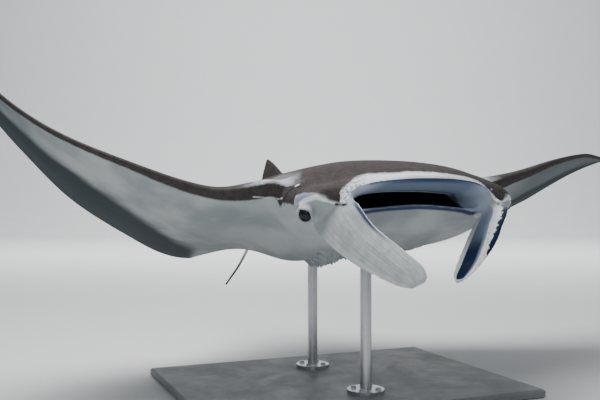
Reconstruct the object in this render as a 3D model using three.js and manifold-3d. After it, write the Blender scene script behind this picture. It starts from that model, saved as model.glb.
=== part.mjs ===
// A reef manta ray as a still, life-size display model on a flat stand with two rods.
// Millimetres, +Z up. The animal faces -Y and its left side is +X.
// The frame's origin is the middle of the stand's underside.
import * as THREE from "three";
import { mergeVertices } from "three/addons/utils/BufferGeometryUtils.js";
import Module from "manifold-3d";

const wasm = await Module();
wasm.setup();

// ---------------------------------------------------------------- driving dimensions

// The animal's own frame starts at the middle of the upper lip, this far before and above the origin.
const LIP_AHEAD = 650;
const LIP_HEIGHT = 700;

const GAP = 0.3; // clearance between neighbouring solids

// The disc: sections from the midline (0) out to a wing tip, with the wings laid flat.
const SPAN = [0, 200, 400, 600, 850, 1100, 1350, 1620];
const DISC = {
  front: [200, 210, 262, 335, 410, 535, 700, 935], // leading edge
  rear: [1430, 1340, 1260, 1185, 1100, 1010, 930, 955], // trailing edge
  top: [154, 118, 54, 40, 29, 18, 11, 5], // height above the section's chord
  bottom: [200, 180, 72, 60, 30, 18, 11, 5], // depth below the chord
  blunt: [2.2, 2.2, 2.0, 2.0, 2.0, 2.0, 2.0, 2.0], // bluntness of the leading edge's upper side
  keen: [1.7, 1.8, 2.0, 2.0, 2.0, 2.0, 2.0, 2.0], // bluntness of its lower side
  peak: [0.36, 0.36, 0.34, 0.32, 0.32, 0.32, 0.32, 0.32], // where the upper side is highest
  keel: [0.56, 0.4, 0.32, 0.33, 0.32, 0.32, 0.32, 0.32], // where the lower side is deepest
  fall: [1.8, 1.7, 1.5, 1.4, 1.3, 1.3, 1.3, 1.3], // how full the rear of the section is
  end: [0.16, 0.06, 0.05, 0.06, 0.09, 0.14, 0.25, 0.6], // share of thickness left at the rear edge
  rise: [50, 35, 12, 0, 0, 0, 0, 0], // how far the rear of the body curves up
};
const HUB = -55; // height of the disc's chord plane at the midline
const RISE_FROM = 0.45; // the share of the chord where the rear of the body starts to curve up
const TWIST_AXIS = 0.35; // the share of the chord that a section twists about
const HALF_SPAN = 1620;
const ROOT_CUT = 400; // where a wing leaves the trunk
const MID_CUT = 780;
const TIP_CUT = 1180;

// The swimming pose of each wing: upward slope and rear-edge-down twist in degrees, sweep in mm.
const POSE = {
  right: {
    side: -1,
    slope: [0, -7, -3.5, 19, 28, 39, 53, 50],
    twist: [0, 0, 17, 12.5, 10.5, 6, 3.7, 1.7],
    sweep: [0, -10, -24, -33, -45, -42, -36, -25],
  },
  left: {
    side: 1,
    slope: [0, -1, 2.5, 9.5, 15.5, 12.3, 8.6, 3.2],
    twist: [0, 2.5, 13, 18.5, 23, 23.5, 14, 4],
    sweep: [0, 20, 16, 15, 22, 37, 59, 80],
  },
};

// The head: upright sections from the upper lip back into the trunk.
const HEAD_AT = [0, 10, 30, 50, 75, 100, 130, 170, 220, 300, 420, 600];
const HEAD = {
  half: [20, 100, 165, 215, 280, 330, 360, 370, 372, 368, 320, 180],
  top: [26, 36, 44, 51, 58, 63, 69, 76, 83, 90, 94, 60],
  bottom: [12, -2, -12, -26, -48, -73, -100, -128, -155, -192, -205, -150],
  widest: [18, 15, 12, 6, -5, -16, -26, -32, -36, -42, -52, -55], // height of the widest line
  roof: [2.2, 2.2, 2.2, 2.2, 2.2, 2.2, 2.2, 2.2, 2.2, 2.2, 2.2, 2.2], // squareness above that line
  floor: [2.0, 2.0, 2.0, 2.0, 2.0, 2.1, 2.2, 2.3, 2.3, 2.3, 2.3, 2.2], // squareness below it
};
const HEAD_CUT = 300; // where the head leaves the trunk
const LIP_ARCH = 30; // how far the lips' corners hang below their middle
const ARCH_HALF = 240;
const ARCH_DEPTH = 160;

// The mouth hollow: flattened sections from before the lips back to the throat.
const MOUTH_AT = [-60, 0, 40, 80, 120, 180, 250];
const MOUTH = {
  half: [240, 236, 230, 222, 200, 165, 120],
  top: [40, 22, 6, -6, -12, -20, -35],
  bottom: [-130, -105, -75, -52, -66, -68, -55],
};
const MOUTH_SQUARENESS = { roof: 4, floor: 2.6 };
const MOUTH_ARCH = { roof: 10, floor: 26 };
const JAW_HALF = 238;
const JAW_TOP = -52;

// A cephalic fin: its front and rear edges from the root to the tip.
const CEPHALIC = {
  right: {
    front: [
      [-226, 66, -18], [-229, 28, -40], [-206, -25, -103], [-164, -109, -165],
      [-134, -168, -212], [-134, -176, -240], [-155, -145, -264],
    ],
    rear: [
      [-300, 170, -110], [-289, 105, -152], [-249, 28, -204], [-211, -44, -238],
      [-175, -110, -262], [-165, -130, -264], [-155, -145, -264],
    ],
    bow: -12,
    fold: 0,
  },
  left: {
    front: [
      [238, 70, -12], [270, 30, -55], [228, 0, -118], [199, -20, -150],
      [153, -40, -192], [80, -65, -241], [21, -80, -265],
    ],
    rear: [
      [262, 160, -60], [224, 110, -85], [181, 80, -121], [129, 40, -165],
      [58, -20, -223], [30, -50, -247], [21, -80, -265],
    ],
    bow: 12,
    fold: -20,
  },
};
const CEPHALIC_THICK = 14;
const CEPHALIC_EDGE = 5;
const RIDGE_ROOT = 0.46; // the fold's share across the fin at its root and tip
const RIDGE_TIP = 0.2;
const RIDGE_FADE = [0.5, 0.9];

// Smaller fins, as front and rear edges from the root up to the tip.
const DORSAL = {
  front: [[0, 1120, 50], [0, 1200, 86], [0, 1285, 122], [0, 1345, 142]],
  rear: [[0, 1432, 8], [0, 1422, 62], [0, 1390, 108], [0, 1362, 142]],
};
const PELVIC = {
  front: [[44, 1330, -14], [100, 1352, -26], [136, 1410, -36], [126, 1465, -42]],
  rear: [[34, 1425, -20], [62, 1474, -32], [94, 1490, -38], [118, 1478, -42]],
};
const SMALL_FIN_THICK = 20;
const PELVIC_THICK = 12;
const SMALL_FIN_EDGE = 4;

// The tail, a thin whip that droops behind the disc.
const TAIL = [
  [0, 1380, -2], [2, 1450, -20], [20, 1550, -85], [42, 1670, -205], [45, 1860, -345], [50, 2120, -480],
];
const TAIL_ROOT_RADIUS = 18;
const TAIL_TIP_RADIUS = 5;
const TAIL_TAPER = 1.6;

const EYES = { right: [-345, 118, -74], left: [354, 155, -48] };
const EYE_RADII = [20, 26, 23];

// The stand.
const BASE = { wide: 1150, long: 850, thick: 30, chamfer: 6 };
const ROD_RADIUS = 19;
const ROD_FLANGE = { radius: 62, thick: 12 };
const RODS = { front: -230, rear: 210 }; // places along Y
const ROD_TOP = 560; // inside the belly, which trims the rods

// ---------------------------------------------------------------- small tools

// A smooth monotone curve through a table, at x.
function along(xs, ys, x) {
  const last = xs.length - 1;
  const at = Math.min(Math.max(x, xs[0]), xs[last]);
  const slope = (i) => (ys[i + 1] - ys[i]) / (xs[i + 1] - xs[i]);
  const tangent = (i) => {
    if (i === 0) return slope(0);
    if (i === last) return slope(last - 1);
    const before = slope(i - 1);
    const after = slope(i);
    if (before * after <= 0) return 0;
    const a = 2 * (xs[i + 1] - xs[i]) + (xs[i] - xs[i - 1]);
    const b = xs[i + 1] - xs[i] + 2 * (xs[i] - xs[i - 1]);
    return (a + b) / (a / before + b / after);
  };
  let i = 0;
  while (i < last - 1 && at > xs[i + 1]) i += 1;
  const h = xs[i + 1] - xs[i];
  const t = (at - xs[i]) / h;
  return (
    (2 * t ** 3 - 3 * t ** 2 + 1) * ys[i] +
    (t ** 3 - 2 * t ** 2 + t) * h * tangent(i) +
    (3 * t ** 2 - 2 * t ** 3) * ys[i + 1] +
    (t ** 3 - t ** 2) * h * tangent(i + 1)
  );
}

const steps = (from, to, count) => Array.from({ length: count + 1 }, (_, i) => from + ((to - from) * i) / count);
const signedPower = (value, power) => Math.sign(value) * Math.abs(value) ** power;
const vectors = (points) => points.map((p) => new THREE.Vector3(...p));
const smoothCurve = (points) => new THREE.CatmullRomCurve3(vectors(points), false, "centripetal");

// A closed loft through rings of points. Points j and last-j of a ring face each other across it.
function loft(rings) {
  const size = rings[0].length;
  const index = [];
  const quad = (a, b, c, d) => index.push(a, b, c, a, c, d);
  for (let i = 0; i < rings.length - 1; i += 1) {
    for (let j = 0; j < size; j += 1) {
      const next = (j + 1) % size;
      quad(i * size + j, i * size + next, (i + 1) * size + next, (i + 1) * size + j);
    }
  }
  const cap = (start, turn) => {
    for (let j = 0; j < size / 2 - 1; j += 1) {
      const corners = [j, size - 1 - j, size - 2 - j, j + 1].map((k) => start + k);
      const face = turn ? corners.reverse() : corners;
      if (size - 2 - j === j + 1) index.push(...face.filter((k, n) => face.indexOf(k) === n));
      else quad(...face);
    }
  };
  cap(0, false);
  cap((rings.length - 1) * size, true);
  const geometry = new THREE.BufferGeometry().setFromPoints(rings.flat());
  geometry.setIndex(signedVolume(rings.flat(), index) < 0 ? index.reverse() : index);
  return geometry;
}

function signedVolume(points, index) {
  let sum = 0;
  for (let k = 0; k < index.length; k += 3) {
    const [a, b, c] = [points[index[k]], points[index[k + 1]], points[index[k + 2]]];
    sum += a.dot(new THREE.Vector3().crossVectors(b, c));
  }
  return sum;
}

function toSolid(geometry) {
  const bare = geometry.clone();
  bare.deleteAttribute("normal");
  bare.deleteAttribute("uv");
  const merged = mergeVertices(bare, 1e-3);
  const mesh = new wasm.Mesh({
    numProp: 3,
    vertProperties: merged.attributes.position.array,
    triVerts: new Uint32Array(merged.index.array),
  });
  return new wasm.Manifold(mesh);
}

function toGeometry(solid) {
  const mesh = solid.getMesh();
  const geometry = new THREE.BufferGeometry();
  geometry.setAttribute("position", new THREE.BufferAttribute(mesh.vertProperties, 3));
  geometry.setIndex(new THREE.BufferAttribute(mesh.triVerts, 1));
  return geometry;
}

const cut = (geometry, ...tools) => tools.reduce(
  (left, tool) => toGeometry(toSolid(left).subtract(toSolid(tool))), geometry);
const join = (a, b) => toGeometry(toSolid(a).add(toSolid(b)));
const common = (a, b) => toGeometry(toSolid(a).intersect(toSolid(b)));
const moved = (geometry, x, y, z) => geometry.clone().translate(x, y, z);

// A box between two corners.
function block(low, high) {
  const size = high.map((value, k) => value - low[k]);
  const middle = high.map((value, k) => (value + low[k]) / 2);
  return new THREE.BoxGeometry(...size).translate(...middle);
}

// ---------------------------------------------------------------- disc and wings

// Height of a section at a share c of its chord, where 1 is its greatest height.
function fullness(c, nose, peak, fall, end) {
  if (c < peak) return Math.sqrt(1 - (1 - c / peak) ** nose);
  return 1 - (1 - end) * ((c - peak) / (1 - peak)) ** fall;
}

// The path of a wing's twist axis seen from the front: slope added up from the midline.
function wingPath(slopes) {
  const count = 200;
  const stride = HALF_SPAN / count;
  const path = [[0, HUB]];
  for (let i = 0; i < count; i += 1) {
    const angle = THREE.MathUtils.degToRad(along(SPAN, slopes, (i + 0.5) * stride));
    const [x, z] = path[i];
    path.push([x + stride * Math.cos(angle), z + stride * Math.sin(angle)]);
  }
  return (s) => {
    const place = Math.min(s / stride, count - 1e-9);
    const i = Math.floor(place);
    const f = place - i;
    return path[i].map((value, k) => value * (1 - f) + path[i + 1][k] * f);
  };
}
const PATHS = { left: wingPath(POSE.left.slope), right: wingPath(POSE.right.slope) };

// One section ring, from the rear edge over the top to the nose and back below.
function discRing(s, chordSteps) {
  const which = s < 0 ? "right" : "left";
  const pose = POSE[which];
  const out = Math.abs(s);
  const value = (table) => along(SPAN, table, out);
  const slope = THREE.MathUtils.degToRad(value(pose.slope));
  const twist = THREE.MathUtils.degToRad(value(pose.twist));
  const [axisX, axisZ] = PATHS[which](out);
  const front = value(DISC.front);
  const chord = value(DISC.rear) - front;
  const square = [-Math.sin(slope), 0, Math.cos(slope)];
  const back = [-Math.sin(twist) * square[0], Math.cos(twist), -Math.sin(twist) * square[2]];
  const up = [Math.cos(twist) * square[0], Math.sin(twist), Math.cos(twist) * square[2]];
  const axis = [axisX, front + TWIST_AXIS * chord + value(pose.sweep), axisZ];
  const point = (c, side) => {
    const above = side > 0;
    const nose = value(above ? DISC.blunt : DISC.keen);
    const thickest = value(above ? DISC.peak : DISC.keel);
    const full = fullness(c, nose, thickest, value(DISC.fall), value(DISC.end));
    const rear = THREE.MathUtils.smoothstep(c, RISE_FROM, 1);
    const tall = above ? value(DISC.top) : -value(DISC.bottom);
    const height = tall * full + value(DISC.rise) * rear;
    const [x, y, z] = axis.map((a, k) => a + (c - TWIST_AXIS) * chord * back[k] + height * up[k]);
    return new THREE.Vector3(x * pose.side, y, z);
  };
  const shares = steps(0, 1, chordSteps).map((u) => (1 + Math.cos(Math.PI * u)) / 2);
  const over = shares.map((c) => point(c, 1));
  const under = shares.slice(0, -1).reverse().map((c) => point(c, -1));
  return [...over, ...under];
}

const discLength = (from, to, spanSteps, chordSteps) =>
  loft(steps(from, to, spanSteps).map((s) => discRing(s, chordSteps)));

// ---------------------------------------------------------------- head and mouth

// The head's loft; grow makes it larger all round by that much.
function headLoft(grow, sections, ringPoints) {
  const end = HEAD_AT[HEAD_AT.length - 1];
  const rings = steps(0, 1, sections).map((u) => {
    const y = end * u ** 1.5;
    const value = (table) => along(HEAD_AT, table, y);
    const half = value(HEAD.half) + grow;
    const widest = value(HEAD.widest);
    const arch = LIP_ARCH * Math.exp(-((y / ARCH_DEPTH) ** 2));
    return steps(0, ringPoints - 1, ringPoints - 1).map((j) => {
      const angle = ((j + 0.5) / ringPoints) * 2 * Math.PI;
      const above = Math.sin(angle) > 0;
      const power = 2 / value(above ? HEAD.roof : HEAD.floor);
      const reach = above ? value(HEAD.top) + grow - widest : widest - value(HEAD.bottom) + grow;
      const x = half * signedPower(Math.cos(angle), power);
      const z = widest + reach * signedPower(Math.sin(angle), power);
      const hang = arch * Math.min(1, Math.abs(x) / ARCH_HALF) ** 3;
      return new THREE.Vector3(x, y - grow * (1 - u), z - hang);
    });
  });
  return loft(rings);
}

function mouthHollow() {
  const sections = 10;
  const ringPoints = 24;
  const first = MOUTH_AT[0];
  const last = MOUTH_AT[MOUTH_AT.length - 1];
  const rings = steps(first, last, sections).map((y) => {
    const value = (table) => along(MOUTH_AT, table, y);
    const middle = (value(MOUTH.top) + value(MOUTH.bottom)) / 2;
    const tall = (value(MOUTH.top) - value(MOUTH.bottom)) / 2;
    return steps(0, ringPoints - 1, ringPoints - 1).map((j) => {
      const angle = ((j + 0.5) / ringPoints) * 2 * Math.PI;
      const above = Math.sin(angle) > 0;
      const power = 2 / (above ? MOUTH_SQUARENESS.roof : MOUTH_SQUARENESS.floor);
      const x = value(MOUTH.half) * signedPower(Math.cos(angle), power);
      const z = middle + tall * signedPower(Math.sin(angle), power);
      const roofShare = (1 + Math.sin(angle)) / 2;
      const arch = MOUTH_ARCH.floor + (MOUTH_ARCH.roof - MOUTH_ARCH.floor) * roofShare;
      return new THREE.Vector3(x, y, z - arch * (Math.abs(x) / ARCH_HALF) ** 2);
    });
  });
  return loft(rings);
}

// ---------------------------------------------------------------- fins and tail

// A thin blade between a front and a rear edge, bowed across its width, with a ridge that fades
// towards its tip where it is folded.
function blade(edges, thick, thin, lengthSteps, widthSteps, bow = 0, fold = 0) {
  const front = smoothCurve(edges.front);
  const rear = smoothCurve(edges.rear);
  const reach = 0.975;
  const middle = (t) => front.getPoint(t).add(rear.getPoint(t)).multiplyScalar(0.5);
  const rings = steps(0, reach, lengthSteps).map((t) => {
    const start = front.getPoint(t);
    const across = rear.getPoint(t).sub(start);
    const width = across.length();
    const run = middle(Math.min(t + 0.01, 1)).sub(middle(Math.max(t - 0.01, 0)));
    const normal = run.cross(across).normalize();
    const ridge = RIDGE_ROOT + (RIDGE_TIP - RIDGE_ROOT) * t;
    const crease = fold * (1 - THREE.MathUtils.smoothstep(t, ...RIDGE_FADE));
    const side = (sign) => steps(0, 1, widthSteps).map((u) => {
      const c = (1 - Math.cos(Math.PI * u)) / 2;
      const full = thin + (thick - thin) * Math.sin(Math.PI * c ** 0.7) ** 0.8;
      const half = Math.min(full * (1 - 0.5 * t), 0.3 * width + 0.3) / 2;
      const rise = c < ridge ? c / ridge : (1 - c) / (1 - ridge);
      const arc = (bow * 4 * c * (1 - c) + crease * rise) * Math.min(1, width / 100);
      return start.clone().addScaledVector(across, c).addScaledVector(normal, arc + sign * half);
    });
    return [...side(1), ...side(-1).reverse()];
  });
  return loft(rings);
}

// A length of the tail between two shares of its whole.
function tailLength(from, to, count) {
  const curve = smoothCurve(TAIL);
  const sides = 10;
  const acrossAxis = new THREE.Vector3(1, 0, 0);
  const rings = steps(from, to, count).map((t) => {
    const centre = curve.getPoint(t);
    const upAxis = new THREE.Vector3().crossVectors(acrossAxis, curve.getTangent(t)).normalize();
    const radius = TAIL_TIP_RADIUS + (TAIL_ROOT_RADIUS - TAIL_TIP_RADIUS) * (1 - t) ** TAIL_TAPER;
    return steps(0, sides - 1, sides - 1).map((j) => {
      const angle = ((j + 0.5) / sides) * 2 * Math.PI;
      return centre.clone()
        .addScaledVector(acrossAxis, radius * Math.cos(angle))
        .addScaledVector(upAxis, radius * Math.sin(angle));
    });
  });
  return loft(rings);
}

// ---------------------------------------------------------------- stand

function standBase() {
  const { wide, long, thick, chamfer } = BASE;
  const x = wide / 2 - chamfer;
  const y = long / 2 - chamfer;
  const outline = new THREE.Shape(vectors([[-x, -y, 0], [x, -y, 0], [x, y, 0], [-x, y, 0]]));
  const settings = {
    depth: thick - 2 * chamfer,
    bevelEnabled: true,
    bevelThickness: chamfer,
    bevelSize: chamfer,
    bevelSegments: 1,
  };
  return new THREE.ExtrudeGeometry(outline, settings).translate(0, 0, chamfer);
}

function standRod(y) {
  const foot = BASE.thick + GAP;
  const profile = [
    [0, foot],
    [ROD_FLANGE.radius, foot],
    [ROD_FLANGE.radius, foot + ROD_FLANGE.thick],
    [ROD_RADIUS, foot + ROD_FLANGE.thick],
    [ROD_RADIUS, ROD_TOP],
    [0, ROD_TOP],
  ].map(([radius, z]) => new THREE.Vector2(radius, z));
  return new THREE.LatheGeometry(profile, 24).rotateX(Math.PI / 2).translate(0, y, 0);
}

// ---------------------------------------------------------------- the whole model

const FAR = 5000;
const skin = (colour) => new THREE.MeshStandardMaterial({ color: colour, roughness: 0.45, metalness: 0 });
const DARK = 0x3b3632;
const PALE = 0xb9bcb8;
const EYE_BLACK = 0x0a0b0f;
const STEEL = 0x9a9da1;
const STAND_GREY = 0x5b5e62;

const model = new THREE.Group();
const manta = new THREE.Group();
manta.position.set(0, -LIP_AHEAD, LIP_HEIGHT);
model.add(manta);

function add(parent, name, geometry, material) {
  const mesh = new THREE.Mesh(geometry, material);
  mesh.name = name;
  parent.add(mesh);
}

// Head, jaw and trunk come from one joined body, parted by thin cuts.
const body = join(discLength(-ROOT_CUT, ROOT_CUT, 16, 14), headLoft(0, 16, 36));
const beforeCut = block([-FAR, -FAR, -FAR], [FAR, HEAD_CUT, FAR]);
const behindCut = block([-FAR, HEAD_CUT + GAP, -FAR], [FAR, FAR, FAR]);
const jawBlock = (grow) => block([-JAW_HALF - grow, -FAR, -FAR], [JAW_HALF + grow, FAR, JAW_TOP + grow]);
const headWhole = cut(common(body, beforeCut), mouthHollow());
const trunk = common(body, behindCut);
add(manta, "head", cut(headWhole, jawBlock(GAP)), skin(DARK));
add(manta, "lower_jaw", common(headWhole, jawBlock(0)), skin(PALE));
add(manta, "trunk", trunk, skin(DARK));

const headSpace = headLoft(GAP, 16, 36);
for (const which of ["right", "left"]) {
  const side = POSE[which].side;
  const length = (from, to, count) => discLength(side * (from + GAP), side * to, count, 12);
  add(manta, `wing_${which}_root`, length(ROOT_CUT, MID_CUT, 5), skin(DARK));
  add(manta, `wing_${which}_middle`, length(MID_CUT, TIP_CUT, 5), skin(DARK));
  add(manta, `wing_${which}_tip`, length(TIP_CUT, HALF_SPAN, 7), skin(DARK));

  const fin = CEPHALIC[which];
  const finBlade = blade(fin, CEPHALIC_THICK, CEPHALIC_EDGE, 14, 7, fin.bow, fin.fold);
  add(manta, `cephalic_fin_${which}`, cut(finBlade, headSpace), skin(PALE));

  const eye = new THREE.SphereGeometry(1, 14, 10).scale(...EYE_RADII).translate(...EYES[which]);
  const eyeMaterial = new THREE.MeshStandardMaterial({ color: EYE_BLACK, roughness: 0.1 });
  add(manta, `eye_${which}`, cut(eye, headSpace), eyeMaterial);

  const mirrored = (points) => points.map(([x, y, z]) => [side * x, y, z]);
  const pelvicEdges = { front: mirrored(PELVIC.front), rear: mirrored(PELVIC.rear) };
  const pelvic = blade(pelvicEdges, PELVIC_THICK, SMALL_FIN_EDGE, 7, 5);
  add(manta, `pelvic_fin_${which}`, cut(pelvic, moved(trunk, 0, 0, -GAP)), skin(DARK));
}

const dorsal = blade(DORSAL, SMALL_FIN_THICK, SMALL_FIN_EDGE, 8, 5);
add(manta, "dorsal_fin", cut(dorsal, moved(trunk, 0, 0, GAP)), skin(DARK));

const TAIL_CUTS = [0, 0.4, 0.7, 1];
const TAIL_NAMES = ["tail_base", "tail_middle", "tail_tip"];
const TAIL_GAP = 0.0004; // the share of the tail's length that is about 0.3 mm
TAIL_NAMES.forEach((name, i) => {
  const length = tailLength(TAIL_CUTS[i] + TAIL_GAP, TAIL_CUTS[i + 1], 6);
  add(manta, name, i === 0 ? cut(length, moved(trunk, 0, GAP, 0)) : length, skin(DARK));
});

add(model, "stand_base", standBase(), new THREE.MeshStandardMaterial({ color: STAND_GREY, roughness: 0.5 }));
const belly = moved(trunk, 0, -LIP_AHEAD, LIP_HEIGHT - GAP);
for (const [which, y] of Object.entries(RODS)) {
  const steel = new THREE.MeshStandardMaterial({ color: STEEL, roughness: 0.3, metalness: 1 });
  add(model, `stand_rod_${which}`, cut(standRod(y), belly), steel);
}

export default model;
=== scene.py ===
# Looks for a life-size reef manta ray display model: one skin, two eyes and the stand.
# Tables are in millimetres in the animal's own frame: x left, y back, z up, from the middle of
# the upper lip.
import math

import bmesh
import bpy
import numpy as np
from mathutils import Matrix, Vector
from mathutils.bvhtree import BVHTree


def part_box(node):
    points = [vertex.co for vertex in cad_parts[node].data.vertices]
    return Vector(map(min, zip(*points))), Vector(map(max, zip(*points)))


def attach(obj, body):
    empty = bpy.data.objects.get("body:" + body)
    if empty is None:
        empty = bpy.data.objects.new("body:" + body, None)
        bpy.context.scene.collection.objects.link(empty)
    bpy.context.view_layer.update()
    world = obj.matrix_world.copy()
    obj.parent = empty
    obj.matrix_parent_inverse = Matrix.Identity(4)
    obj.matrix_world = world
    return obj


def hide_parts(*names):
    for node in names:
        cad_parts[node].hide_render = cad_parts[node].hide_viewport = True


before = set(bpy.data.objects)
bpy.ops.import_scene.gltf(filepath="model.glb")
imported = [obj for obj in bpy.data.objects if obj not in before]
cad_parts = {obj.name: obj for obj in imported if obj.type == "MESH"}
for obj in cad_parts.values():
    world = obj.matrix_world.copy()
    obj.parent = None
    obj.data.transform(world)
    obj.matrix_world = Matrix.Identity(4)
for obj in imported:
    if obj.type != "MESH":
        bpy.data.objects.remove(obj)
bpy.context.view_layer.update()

MM = 0.001
LIP_AHEAD = 650
LIP_HEIGHT = 700
HOME = np.array([0.0, -LIP_AHEAD, LIP_HEIGHT]) * MM  # the animal's frame in the model's frame

# ---- Sizes shared with the solids

SPAN = [0, 200, 400, 600, 850, 1100, 1350, 1620]
DISC = {
    "front": [200, 210, 262, 335, 410, 535, 700, 935],
    "rear": [1430, 1340, 1260, 1185, 1100, 1010, 930, 955],
    "top": [154, 118, 54, 40, 29, 18, 11, 5],
    "bottom": [200, 180, 72, 60, 30, 18, 11, 5],
    "blunt": [2.2, 2.2] + [2.0] * 6,
    "keen": [1.7, 1.8] + [2.0] * 6,
    "peak": [0.36, 0.36, 0.34, 0.32, 0.32, 0.32, 0.32, 0.32],
    "keel": [0.56, 0.4, 0.32, 0.33, 0.32, 0.32, 0.32, 0.32],
    "fall": [1.8, 1.7, 1.5, 1.4, 1.3, 1.3, 1.3, 1.3],
    "end": [0.16, 0.06, 0.05, 0.06, 0.09, 0.14, 0.25, 0.6],
    "rise": [50, 35, 12, 0, 0, 0, 0, 0],
}
HUB = -55
RISE_FROM = 0.45
TWIST_AXIS = 0.35
HALF_SPAN = 1620
POSE = {
    "right": {
        "side": -1,
        "slope": [0, -7, -3.5, 19, 28, 39, 53, 50],
        "twist": [0, 0, 17, 12.5, 10.5, 6, 3.7, 1.7],
        "sweep": [0, -10, -24, -33, -45, -42, -36, -25],
    },
    "left": {
        "side": 1,
        "slope": [0, -1, 2.5, 9.5, 15.5, 12.3, 8.6, 3.2],
        "twist": [0, 2.5, 13, 18.5, 23, 23.5, 14, 4],
        "sweep": [0, 20, 16, 15, 22, 37, 59, 80],
    },
}

SIDE = {which: pose["side"] for which, pose in POSE.items()}

HEAD_AT = [0, 10, 30, 50, 75, 100, 130, 170, 220, 300, 420, 600]
HEAD = {
    "half": [20, 100, 165, 215, 280, 330, 360, 370, 372, 368, 320, 180],
    "top": [26, 36, 44, 51, 58, 63, 69, 76, 83, 90, 94, 60],
    "bottom": [12, -2, -12, -26, -48, -73, -100, -128, -155, -192, -205, -150],
    "widest": [18, 15, 12, 6, -5, -16, -26, -32, -36, -42, -52, -55],
    "roof": [2.2] * 12,
    "floor": [2.0, 2.0, 2.0, 2.0, 2.0, 2.1, 2.2, 2.3, 2.3, 2.3, 2.3, 2.2],
}
LIP_ARCH = 30
ARCH_HALF = 240
ARCH_DEPTH = 160

MOUTH_AT = [-60, 0, 40, 80, 120, 180, 250]
MOUTH = {
    "half": [240, 236, 230, 222, 200, 165, 120],
    "top": [40, 22, 6, -6, -12, -20, -35],
    "bottom": [-130, -105, -75, -52, -66, -68, -55],
}
MOUTH_SQUARENESS = {"roof": 4, "floor": 2.6}
MOUTH_ARCH = {"roof": 10, "floor": 26}

CEPHALIC = {
    "right": {
        "front": [
            [-226, 66, -18], [-229, 28, -40], [-206, -25, -103], [-164, -109, -165],
            [-134, -168, -212], [-134, -176, -240], [-155, -145, -264],
        ],
        "rear": [
            [-300, 170, -110], [-289, 105, -152], [-249, 28, -204], [-211, -44, -238],
            [-175, -110, -262], [-165, -130, -264], [-155, -145, -264],
        ],
        "bow": -12,
        "fold": 0,
    },
    "left": {
        "front": [
            [238, 70, -12], [270, 30, -55], [228, 0, -118], [199, -20, -150],
            [153, -40, -192], [80, -65, -241], [21, -80, -265],
        ],
        "rear": [
            [262, 160, -60], [224, 110, -85], [181, 80, -121], [129, 40, -165],
            [58, -20, -223], [30, -50, -247], [21, -80, -265],
        ],
        "bow": 12,
        "fold": -20,
    },
}
CEPHALIC_THICK = 14
CEPHALIC_EDGE = 5
RIDGE_ROOT = 0.46  # the fold's share across the fin at its root and tip
RIDGE_TIP = 0.2
RIDGE_FADE = (0.5, 0.9)
DORSAL = {
    "front": [[0, 1120, 50], [0, 1200, 86], [0, 1285, 122], [0, 1345, 142]],
    "rear": [[0, 1432, 8], [0, 1422, 62], [0, 1390, 108], [0, 1362, 142]],
}
PELVIC = {
    "front": [[44, 1330, -14], [100, 1352, -26], [136, 1410, -36], [126, 1465, -42]],
    "rear": [[34, 1425, -20], [62, 1474, -32], [94, 1490, -38], [118, 1478, -42]],
}
SMALL_FIN_THICK = 20
PELVIC_THICK = 12
SMALL_FIN_EDGE = 4
BLADE_END = 0.985  # the share of a fin's length at its last section
TAIL = [
    [0, 1380, -2], [2, 1450, -20], [20, 1550, -85], [42, 1670, -205], [45, 1860, -345], [50, 2120, -480],
]
TAIL_ROOT_RADIUS = 18
TAIL_TIP_RADIUS = 5
TAIL_TAPER = 1.6
EYES = {"right": [-345, 118, -74], "left": [354, 155, -48]}
EYE_RADII = [20, 26, 23]

# ---- Forms and mesh sizes that only this script has

VOXEL = 3.6  # the skin's mesh size around the body
SEAM = 640  # the span station where the wings' own grid takes over
SEAM_OVERLAP = 30  # how far the merged centre runs past it before it is cut
SEAM_GAP = 4  # the length of the bridge between the two
WING_SECTIONS = 300
WING_STEPS = 150  # along the chord
WING_HOLD = (430, 520)  # span stations over which the merged wing roots take their exact shape again
DISC_FROM = 200  # the furthest forward that they do
# Steps along and across the thin forms: as merged, and as the exact shape that they take again.
MERGED_STEPS = {"cephalic": (90, 40), "pelvic": (40, 20), "dorsal": (40, 20)}
EXACT_STEPS = {"cephalic": (200, 60), "pelvic": (80, 30), "dorsal": (80, 30)}
LOOKUP_STEPS = (160, 60)  # those of the head fins when places on them are looked up
LOOKUP_REACH = 25.0
BALL_SEGMENTS = 48
RELAX = (0.6, -0.62)  # the shares of smoothing's inward and outward rounds
LID = 3.6  # the eyelid's thickness over the eyeball
EYE_GAZE = [0.483, -0.727, -0.489]  # the middle of the eye's opening, from outwards, back and up
EYE_SLANT = [-0.594, -0.207, -0.776]  # the long way across the opening
EYE_OPEN = (math.radians(75), math.radians(53))  # half angles along and across its slant
EYE_AREA = 62  # how far from the eye's middle the mesh is finer, finest, and shaped as an eyelid
EYE_CORE = 42
EYE_SOCKET = 46
PUPIL_SINK = 6  # how far the skin dips behind the eyeball in the opening
LOWER_LIP_REACH = 188
LOWER_LIP_RADIUS = 5.5
GILLS = 5
GILL_FIRST = {"x": 124, "y": 372, "half": 70}
GILL_LAST = {"x": 98, "y": 604, "half": 46}
GILL_BEND = (16, 14)
GILL_BELOW = -130  # the slits lie under this height
GILL_DEPTH = 8
GILL_FLAP = {"right": 27, "left": 8}  # the covers lie flatter on the left
FLANGE_THICK = 12
BOLTS = 4
BOLT_CIRCLE = 43
BOLT_SIDES = 24
BOLT_SUNK = 0.2
# Radius and height along a bolt: a shallow washer, a rounded head and the socket sunk in it.
BOLT_PROFILE = [(11, 0), (11, 1.6), (8, 1.8), (8, 6.6), (7.2, 7.6), (4, 7.6), (4, 4.2)]
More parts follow.
